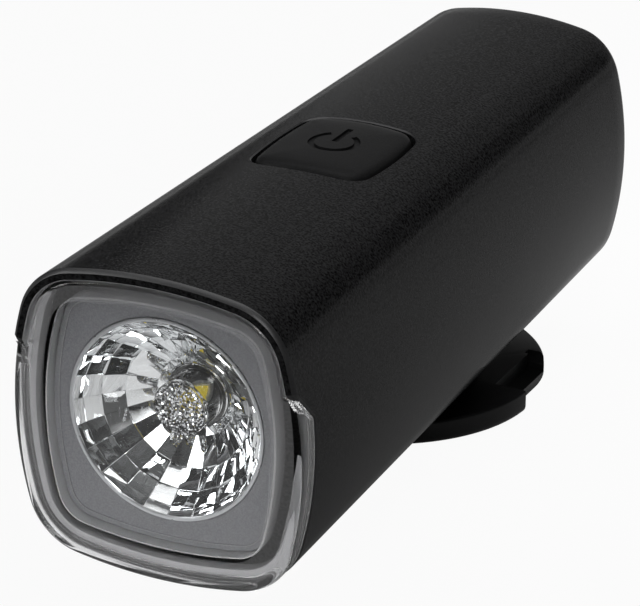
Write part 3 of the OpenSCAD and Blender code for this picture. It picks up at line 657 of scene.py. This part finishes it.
# Reflector: a vacuum-metallised plastic bowl. Its curve is broken into flat facets, each turned
# a little its own way, with fine grooves between them. A narrow rim closes it at the bezel.
bezel_face = 3.9
bezel_t = 1.6
led_face = 12.0
optic_z = 25.7854
mouth_r = 12.2
throat_r = 4.0
columns = 24
row_ends = [0, 0.13, 0.36, 0.63, 0.93, 1]
bowl_start = bezel_face + 0.15
bowl_reach = led_face - bezel_face - 0.2
facet_groove = 0.03
facet_sunk = 0.02
tilt_spread = 5
swell = 0.02


def optic_ring(depth, radius, count):
    return [along_y(p, depth - axis_back) for p in circle(radius, count, (0, optic_z))]


rings = []
for part_way in row_ends:
    radius = math.sqrt(mouth_r ** 2 - part_way * (mouth_r ** 2 - throat_r ** 2))
    rings.append(optic_ring(bowl_start + bowl_reach * part_way, radius, columns))
bowl = extrude_rings("reflector_bowl", rings)
bpy.ops.object.mode_set(mode="EDIT")
bpy.ops.mesh.select_all(action="SELECT")
bpy.ops.mesh.inset(thickness=facet_groove * mm, depth=facet_sunk * mm, use_individual=True)
shape = bmesh.from_edit_mesh(bowl.data)
chance = random.Random(7)
facets = []
for facet in sorted((f for f in shape.faces if f.select), key=lambda f: tuple(f.calc_center_median())):
    lean = Vector((chance.gauss(0, 1), chance.gauss(0, 1), chance.gauss(0, 1))).cross(facet.normal)
    tilt = Matrix.Rotation(math.radians(chance.gauss(0, tilt_spread)), 3, lean.normalized())
    centre = facet.calc_center_median()
    for corner_point in facet.verts:
        corner_point.co = centre + tilt @ (corner_point.co - centre)
    facets.append((centre, tilt @ facet.normal, max((p.co - centre).length for p in facet.verts)))
bpy.ops.mesh.subdivide(number_cuts=3)
shape = bmesh.from_edit_mesh(bowl.data)
inner = [f for f in shape.faces if f.select]
for point in {p for f in inner for p in f.verts if all(near.select for near in p.link_faces)}:
    centre, normal, reach = min(facets, key=lambda f: (f[0] - point.co).length)
    point.co += normal * swell * mm * (1 - ((point.co - centre).length / reach) ** 2)
bmesh.update_edit_mesh(bowl.data)
bpy.ops.object.mode_set(mode="OBJECT")
smooth(bowl, 8)

lip_r = mouth_r + 0.4
flange_r = mouth_r + 1.3
flange_face = bezel_face + bezel_t
flange_back = flange_face + 0.8
shell_steps = [(bowl_start, mouth_r - 0.1), (bezel_face, mouth_r + 0.05), (bezel_face - 0.02, mouth_r + 0.2),
               (bezel_face, lip_r), (flange_face, lip_r), (flange_face, flange_r), (flange_back, flange_r),
               (flange_back, lip_r), (led_face, throat_r + 1.4), (led_face, throat_r),
               (led_face - 0.05, throat_r)]
shell = extrude_rings("reflector_shell", [optic_ring(depth, radius, 112) for depth, radius in shell_steps])
smooth(shell, 30)
bowl.data.materials.append(plated("reflector_chrome", (0.9, 0.91, 0.92), rough=0.02, haze_size=1.6,
                                  ripple=0.006))
shell.data.materials.append(plated("reflector_rim", (0.62, 0.63, 0.65), rough=0.3))
only(bowl)
shell.select_set(True)
bpy.ops.object.join()
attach(bowl, "light")
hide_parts("reflector")


# Centre optic: a small clear acrylic cup that stands upside down over the LED in the bowl's
# throat. Its wall is polished, and its closed end is moulded with fine pebbles.
cup_r = 3.4
hollow_r = 2.675
cup_face = bezel_face + 3.4
cup_floor = cup_face + 1.2
cup_end = led_face - 0.02
end_r = cup_r - 0.15
foot_r = throat_r - 0.15
foot_face = led_face - 0.4
cup_steps = [(cup_floor, hollow_r - 0.2), (cup_floor + 0.2, hollow_r), (cup_end, hollow_r), (cup_end, foot_r),
             (foot_face, foot_r), (foot_face, cup_r + 0.05), (foot_face - 0.05, cup_r),
             (cup_face + 0.2, cup_r), (cup_face + 0.05, cup_r - 0.05), (cup_face, end_r)]
cup = extrude_rings("centre_cup", [optic_ring(depth, radius, 96) for depth, radius in cup_steps], "NGON")

# Pebbles over the cup's closed end, in rough rows.
pebble = 0.25
row_pitch = 0.87
astray = 0.25
rise_spread = 0.06
chance = random.Random(11)
spots = [Vector((math.cos(math.pi * i / 48), math.sin(math.pi * i / 48))) * end_r for i in range(96)]
rows = int(end_r / (row_pitch * pebble))
for row in range(-rows, rows + 1):
    for column in range(-rows, rows + 1):
        stray = Vector((chance.uniform(-astray, astray), chance.uniform(-astray, astray)))
        spot = (Vector((column + 0.5 * (row % 2), row * row_pitch)) + stray) * pebble
        if spot.length < end_r - 0.5 * pebble:
            spots.append(spot)
spots, _, triangles, *_ = delaunay_2d_cdt(spots, [], [], 0, 0.001)
only(cup)
bpy.ops.object.mode_set(mode="EDIT")
shape = bmesh.from_edit_mesh(cup.data)
points = []
for spot in spots:
    rise = chance.gauss(0, rise_spread) if spot.length < end_r - 0.01 else 0
    points.append(shape.verts.new(along_y((spot.x, optic_z + spot.y), cup_face + rise - axis_back)))
for a, b, c in triangles:
    shape.faces.new((points[a], points[b], points[c]))
bmesh.update_edit_mesh(cup.data)
bpy.ops.mesh.select_all(action="SELECT")
bpy.ops.mesh.remove_doubles(threshold=0.001 * mm)
bpy.ops.mesh.normals_make_consistent(inside=False)
bpy.ops.object.mode_set(mode="OBJECT")
smooth(cup, 40)


def clear_plastic(name, colour, frost=0.0):
    made, web, shade = new_finish(name)
    shade.inputs["Base Color"].default_value = (*colour, 1)
    shade.inputs["Transmission Weight"].default_value = 1 - frost
    shade.inputs["IOR"].default_value = 1.49
    shade.inputs["Specular IOR Level"].default_value = 0.25
    place = web.nodes.new("ShaderNodeTexCoord").outputs["Object"]
    smear = noise(web, place, 6, 2)
    web.links.new(ranged(web, smear, 0, 1, frost, frost + 0.02), shade.inputs["Roughness"])
    return made


cup.data.materials.append(clear_plastic("cup_clear", (0.97, 0.98, 0.98)))
# The pebbled end is tinted dark grey though the acrylic is clear: painted shade, so that the end looks dim.
cup.data.materials.append(clear_plastic("cup_pebbled_painted_shade", (0.3, 0.3, 0.31)))
cup.data.materials.append(plated("cup_glint", (0.8, 0.81, 0.82), rough=0.06))
end_line = (cup_face + 0.2 - axis_back) * mm
# Each pebble on the closed end takes either the dark grey tint, which is painted shade, or the mirror finish.
for face in cup.data.polygons:
    from_axis = math.hypot(face.center.x, face.center.z - optic_z * mm)
    if face.center.y < end_line and from_axis < end_r * mm:
        face.material_index = chance.choice((1, 2))
        face.use_smooth = False
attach(cup, "light")
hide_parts("centre_optic")


# Bezel: a matt grey plate behind the lens that frames the reflector. Its edge is bevelled, and a
# fine raised line sets off the flat middle.
edge_in = 4.15
line_in = edge_in + 0.72
line_end = line_in + 0.2
line_rise = 0.06
opening_r = mouth_r + 0.45
bezel_steps = [(bezel_t, edge_in), (0.25, edge_in), (0.03, edge_in + 0.18), (0, edge_in + 0.26), (0, line_in),
               (-line_rise, line_in + 0.04), (-line_rise, line_in + 0.13), (line_rise, line_end)]
bezel_rings = [body_ring(bezel_face + deep, inset) for deep, inset in bezel_steps]


def round_mouth(deep, radius):
    places = []
    for x, z in section(line_end):
        turn = math.atan2(z + front_middle - optic_z, x)
        spot = (radius * math.cos(turn), optic_z + radius * math.sin(turn))
        places.append(along_y(spot, bezel_face + deep - axis_back))
    return places


bezel_rings += [round_mouth(line_rise, opening_r + 0.15), round_mouth(0.15, opening_r),
                round_mouth(bezel_t, opening_r), bezel_rings[0]]
bezel = extrude_rings("bezel", bezel_rings)
smooth(bezel, 25)
bezel.data.materials.append(grained("bezel_grey", (0.35, 0.35, 0.37), rough=0.6, grain=0.2, depth=0.006,
                                    specular=0.4, mottle=0.12))
# The raised line is a lighter grey than the plate: a painted highlight along its edge.
bezel.data.materials.append(grained("bezel_line_painted_highlight", (0.45, 0.45, 0.46), rough=0.4, grain=0.1, depth=0.004))
for face in bezel.data.polygons:
    if face.center.y < (bezel_face - line_rise / 2 - axis_back) * mm:
        face.material_index = 1
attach(bezel, "light")
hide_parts("bezel_plate")


# Lens: one clear polycarbonate cup. Under the hood its edge is tucked in, and below it swells out
# flush with the body as a thick clear wall. A pale rubber ring seals it against the body.
lens_face = 0.4
lens_inner = 2.3
lens_back = hood_reach - 0.05
window_in = 6
border_in = 4.1
skirt_in = 4.0
skirt_out = wall + 0.1
skirt_end = 6.4
flush = 0.1
tucked = hood_wall + 0.1
rib = 0.3
past_back = 9
top_back = 1.7
top_step = 0.02


def lens_ring(low_at, high_at, rib_deep=0):
    outlines = {}
    places = []
    for i, q in enumerate(section(0)):
        behind = front_depth(q)
        back = min(behind - 0.07, lens_back)
        low = behind > lens_face + 0.3
        depth, inset = low_at if low else high_at
        if low:
            thick = min(max(back - 1, 0), 1)
            depth = min(depth, back - rib_deep * thick)
        if inset not in outlines:
            outlines[inset] = section(inset)
        places.append(section_point(outlines[inset][i], depth))
    return places


lens_rings = [body_ring(lens_inner, window_in), body_ring(lens_inner, skirt_in + 0.2),
              body_ring(lens_inner + 0.2, skirt_in), body_ring(skirt_end, skirt_in),
              body_ring(skirt_end, skirt_out), body_ring(lens_back, skirt_out),
              body_ring(lens_back, tucked + 0.02)]
ribbed_back = [(tucked, 0), (1.45, rib), (1.15, rib), (1.1, 0), (0.8, 0), (0.75, rib), (0.45, rib), (0.4, 0),
               (flush, 0)]
for step, (inset, rib_deep) in enumerate(ribbed_back):
    lens_rings.append(lens_ring((past_back, inset), (top_back - top_step * step, tucked), rib_deep))
lens_profile = [((1.5, flush), (1.0, tucked)), ((1.1, 0.22), (0.85, tucked + 0.06)),
                ((0.8, 0.45), (0.66, tucked + 0.18)), ((0.56, 0.8), (0.5, tucked + 0.4)),
                ((0.44, 1.2), (0.42, tucked + 0.65)), ((lens_face, 1.6), (lens_face, tucked + 0.9))]
lens_rings += [lens_ring(low_at, high_at) for low_at, high_at in lens_profile]
lens_middle = section_point((0, 0), lens_face)
lens_rings += [body_ring(lens_face, border_in), body_ring(lens_face, window_in),
               [lens_middle] * len(lens_rings[0])]
lens = extrude_rings("lens", lens_rings, "NGON")
smooth(lens, 30)
lens.data.materials.append(clear_plastic("lens_clear", (0.98, 0.985, 0.985)))
lens.data.materials.append(clear_plastic("lens_frosted", (0.9, 0.9, 0.91), frost=0.5))
lens.data.materials.append(clear_plastic("lens_hazed", (0.95, 0.95, 0.96), frost=0.12))
border = body_ring(lens_face, border_in)
for face in lens.data.polygons:
    behind = face.center.y / mm + axis_back
    beside = min(border, key=lambda p: (p - face.center).length)
    in_border = (face.center - lens_middle).length > (beside - lens_middle).length
    on_skirt = behind > hood_reach and abs(face.normal.y) < 0.5
    on_inner_chamfer = lens_inner + 0.05 < behind < lens_inner + 0.15
    on_back = face.normal.y > 0.5 and 2.5 < behind < hood_reach
    if on_skirt or on_inner_chamfer:
        face.material_index = 1
    elif on_back or in_border and face.normal.y < -0.99:
        face.material_index = 2
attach(lens, "light")
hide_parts("front_lens")
finish_node("lens_seal", grained("seal_pale", (0.58, 0.58, 0.59), rough=0.7, grain=0.3, depth=0.01))


# Cell: a lithium cell in a shrunk film, lying in a grey plastic cradle. Nickel tabs join it to
# the driver board.
finish_node("battery_cell", grained("cell_wrap", (0.03, 0.16, 0.08), rough=0.32, grain=0.8, depth=0.003,
                                    mottle=0.06))
finish_node("cell_cradle", grained("cradle_grey", (0.035, 0.037, 0.041), rough=0.55, grain=0.3, depth=0.008))
finish_node("front_tab", brushed("tab_nickel_front", (0.66, 0.64, 0.6), rough=0.3))
finish_node("rear_tab", brushed("tab_nickel_rear", (0.66, 0.64, 0.6), rough=0.3))


# Driver board: green fibreglass with chips, coil and a tact switch soldered on, held on the cradle
# by four small screws.
finish_node("driver_board", board_look("board_green", (0.01, 0.11, 0.03), (0.03, 0.2, 0.06), pitch=2))
finish_node("driver_parts", grained("chip_black", (0.02, 0.02, 0.021), rough=0.5, grain=0.2, depth=0.004))
finish_node("board_screws", plated("board_screw_steel", (0.5, 0.5, 0.51), rough=0.3))
finish_node("switch_body", grained("switch_black", (0.025, 0.025, 0.026), rough=0.45, grain=0.25,
                                   depth=0.004))
finish_node("switch_plunger", grained("plunger_white", (0.7, 0.7, 0.68), rough=0.5, grain=0.3, depth=0.004))


# Power button: a pillow moulded in matt black silicone rubber, lying in the roof's pocket on a thin
# seal. A power sign is sunk in its top, and a post below it reaches the switch.
button_gap = 0.5
button_base = 42.7935
button_rise = 0.55
post_bottom = 40.3958
post_r = 3.0


def post_ring(height):
    places = []
    for x, y in pocket_outline(button_gap):
        t = math.atan2(y, x)
        places.append(along_z((post_r * math.cos(t), button_middle[1] + post_r * math.sin(t)), height))
    return places


crown = roof(0, button_at) + button_rise
button_steps = [(0, -0.8), (0.05, -0.45), (0.16, -0.18), (0.36, 0.05), (0.65, 0.22), (1.0, 0.32), (1.7, 0.41),
                (3.2, 0.48), (5.4, 0.53)]
button_rings = [post_ring(post_bottom), post_ring(button_base), flat_ring(button_gap, button_base)]
button_rings += [roof_ring(button_gap + inset, lift) for inset, lift in button_steps]
button_rings.append([along_z(button_middle, crown)] * len(button_rings[0]))
button = extrude_rings("power_pillow", button_rings, "NGON")

sign_r = 3.25
stroke = 0.8
sign_gap = 32
sign_deep = 0.4
bar_l = 4.8
sign_depths = (crown - sign_deep, crown + over)
cut(button, arc_block("sign_ring", button_middle, (sign_r - stroke, sign_r), sign_depths,
                      90 + sign_gap, 450 - sign_gap, 72))
bar_middle = (0, button_middle[1] + bar_l / 2)
cut(button, prism("sign_bar", rounded(stroke, bar_l, 0.1, bar_middle, 2), *sign_depths, along_z, bar_middle))
smooth(button, 30)
button.data.materials.append(grained("button_black", (0.011, 0.011, 0.0113), rough=0.45, grain=0.25,
                                     depth=0.012, specular=0.06))
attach(button, "button")
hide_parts("power_button")
finish_node("button_seal", grained("button_seal_rubber", (0.02, 0.02, 0.021), rough=0.7, grain=0.3,
                                   depth=0.01))


# Charge port: a shell drawn from steel sheet round a black plastic tongue. Its feet are soldered
# to the rear end of the driver board.
finish_node("usb_shell", brushed("usb_steel", (0.6, 0.6, 0.61), rough=0.25))
finish_node("usb_tongue", grained("tongue_black", (0.02, 0.02, 0.021), rough=0.45, grain=0.2, depth=0.003))


# Rear cap: a black nylon plug in the back of the body, on a rubber ring. It holds the port's
# recess, the seat of the cover's hinge and two sunk screw heads.
cap_face = 99.8
cap_rear = 104.6
cap_in = wall + 0.1
hinge = (28.3, 33.4958)
hinge_r = 1.1
cover_size = (14.4, 7.2)
cover_corner = 0.9
cover_gap = 0.3
hinge_span = (-4.8, 4.8)
pin_hole_r = 0.52
pin_span = (-6.6, 6.6)
port = (0, 37.4758)
port_mouth = (9.5, 3.82)
port_corner = 1.9
port_span = (20, 28)
recess_y = 27.5
behind_cap = 40
cap_steps = [(cap_face, cap_in), (cap_rear - 0.4, cap_in), (cap_rear - 0.2, cap_in + 0.06),
             (cap_rear - 0.06, cap_in + 0.2), (cap_rear, cap_in + 0.4)]
cap_rings = [body_ring(depth, inset) for depth, inset in cap_steps]
cap_rings.append([section_point((0, 0), cap_rear)] * len(cap_rings[0]))
cap = extrude_rings("back_cap", cap_rings, "NGON")

recess_low = hinge[1] - hinge_r - cover_gap
recess_high = hinge[1] + cover_size[1] + cover_gap
recess_middle = (0, (recess_low + recess_high) / 2)
recess = rounded(cover_size[0] + 2 * cover_gap, recess_high - recess_low, cover_corner, recess_middle)
cut(cap, prism("recess", recess, recess_y, behind_cap, along_y, recess_middle))
cut(cap, prism("mouth", rounded(*port_mouth, port_corner, port), *port_span, along_y, port))
cut(cap, prism("hinge_seat", circle(hinge_r + 0.2, 48, hinge), *hinge_span, along_x, hinge))
cut(cap, prism("pin_hole", circle(pin_hole_r, 24, hinge), *pin_span, along_x, hinge))
screw_x = 11.4
screw_z = 26.39
head_seat = cap_rear - 1.6
head_hole_r = 2.05
shank_hole_r = 1.1
shank_span = (15, 28)
for side in (-1, 1):
    hole = (side * screw_x, screw_z)
    head_hole = circle(head_hole_r, 48, hole)
    cut(cap, prism("head_hole", head_hole, head_seat - axis_back, behind_cap, along_y, hole))
    cut(cap, prism("shank_hole", circle(shank_hole_r, 32, hole), *shank_span, along_y, hole))
ease_edges(cap, 0.15)
smooth(cap, 30)
cap.data.materials.append(grained("cap_black", (0.011, 0.011, 0.0115), rough=0.55, grain=0.35, depth=0.012,
                                  specular=0.2))
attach(cap, "light")
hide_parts("rear_cap")
finish_node("rear_seal", grained("rear_seal_rubber", (0.03, 0.03, 0.031), rough=0.7, grain=0.3, depth=0.01))


# Port cover: a flap of soft black rubber with a hinge barrel at its foot and a plug that presses
# into the port's mouth. Grooves along its top edge give the nail a grip. A steel pin holds it.
cover_y = hinge[0] - 0.65
cover_back = cover_y + 1.3
cover_middle = (0, hinge[1] + cover_size[1] / 2)
barrel_span = (-4.5, 4.5)
bore_r = 0.53
bore_span = (-9, 9)
plug_size = (9.0, 3.32)
plug_corner = 1.65
plug_deep = 0.5
grip_first = 0.9
grip_pitch = 0.7
grip_half = 0.2
grip_deep = 0.22
grip_span = (-4, 4)


def cover_ring(inset, at):
    shape = rounded(cover_size[0] - 2 * inset, cover_size[1] - 2 * inset, cover_corner - inset, cover_middle)
    return [along_y(p, at) for p in shape]


cover_rings = [cover_ring(0.1, cover_y), cover_ring(0, cover_y + 0.1), cover_ring(0, cover_back - 0.3),
               cover_ring(0.08, cover_back - 0.1), cover_ring(0.28, cover_back)]
cover_rings.append([along_y(cover_middle, cover_back)] * len(cover_rings[0]))
cover = extrude_rings("port_flap", cover_rings, "NGON")
cut(cover, prism("barrel", circle(hinge_r, 48, hinge), *barrel_span, along_x, hinge), "UNION")
plug = rounded(*plug_size, plug_corner, port)
cut(cover, prism("plug", plug, cover_y + 0.2, cover_y - plug_deep, along_y, port), "UNION")
cut(cover, prism("bore", circle(bore_r, 24, hinge), *bore_span, along_x, hinge))
for row in range(3):
    height = hinge[1] + cover_size[1] - grip_first - grip_pitch * row
    grip = [(cover_back + 0.1, height - grip_half), (cover_back + 0.1, height + grip_half),
            (cover_back - grip_deep, height)]
    cut(cover, prism("grip", grip, *grip_span, along_x, (cover_back, height)))
smooth(cover, 30)
cover.data.materials.append(grained("cover_black", (0.014, 0.014, 0.0145), rough=0.6, grain=0.4, depth=0.01,
                                    specular=0.2))
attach(cover, "cover")
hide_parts("usb_cover")
finish_node("cover_pin", plated("pin_steel", (0.55, 0.55, 0.56), rough=0.22))


# Rear screws: two small steel screws with rounded heads and hex sockets. They hold the cap to the
# body and lie sunk in its back face.
shank_r = 1.0
shank_end = cap_face - 2.9
head_r = 1.9
head_top = cap_rear - 0.3
hex_r = 0.75
hex_floor = head_top - 0.8


def screw_ring(depth, radius, sides=0, count=48):
    places = []
    for i in range(count):
        t = 2 * math.pi * i / count
        r = radius
        if sides:
            wedge = (t + math.pi / sides) % (2 * math.pi / sides) - math.pi / sides
            r = radius / math.cos(wedge)
        places.append(along_y((r * math.cos(t), r * math.sin(t)), depth - axis_back))
    return places


screw_steps = [(shank_end, shank_r), (head_seat, shank_r), (head_seat, head_r), (head_top - 0.4, head_r),
               (head_top - 0.18, head_r - 0.08), (head_top - 0.04, head_r - 0.3), (head_top, head_r - 0.6)]
hex_steps = [(head_top, hex_r + 0.05), (head_top - 0.08, hex_r), (hex_floor, hex_r)]
screw_rings = [screw_ring(depth, radius) for depth, radius in screw_steps]
screw_rings += [screw_ring(depth, radius, sides=6) for depth, radius in hex_steps]
screw_rings.append([along_y((0, 0), hex_floor - 0.1 - axis_back)] * len(screw_rings[0]))
right_screw = extrude_rings("cap_screw_right", screw_rings, "NGON")
smooth(right_screw, 30)
right_screw.data.materials.append(plated("rear_screw_steel", (0.3, 0.3, 0.31), rough=0.3))
left_screw = right_screw.copy()
left_screw.data = right_screw.data.copy()
left_screw.name = "cap_screw_left"
bpy.context.collection.objects.link(left_screw)
for screw, side in ((right_screw, 1), (left_screw, -1)):
    only(screw)
    bpy.ops.transform.translate(value=(side * screw_x * mm, 0, screw_z * mm))
    bpy.ops.object.transform_apply(location=True, rotation=False, scale=False)
    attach(screw, "light")
    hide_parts("rear_screws")
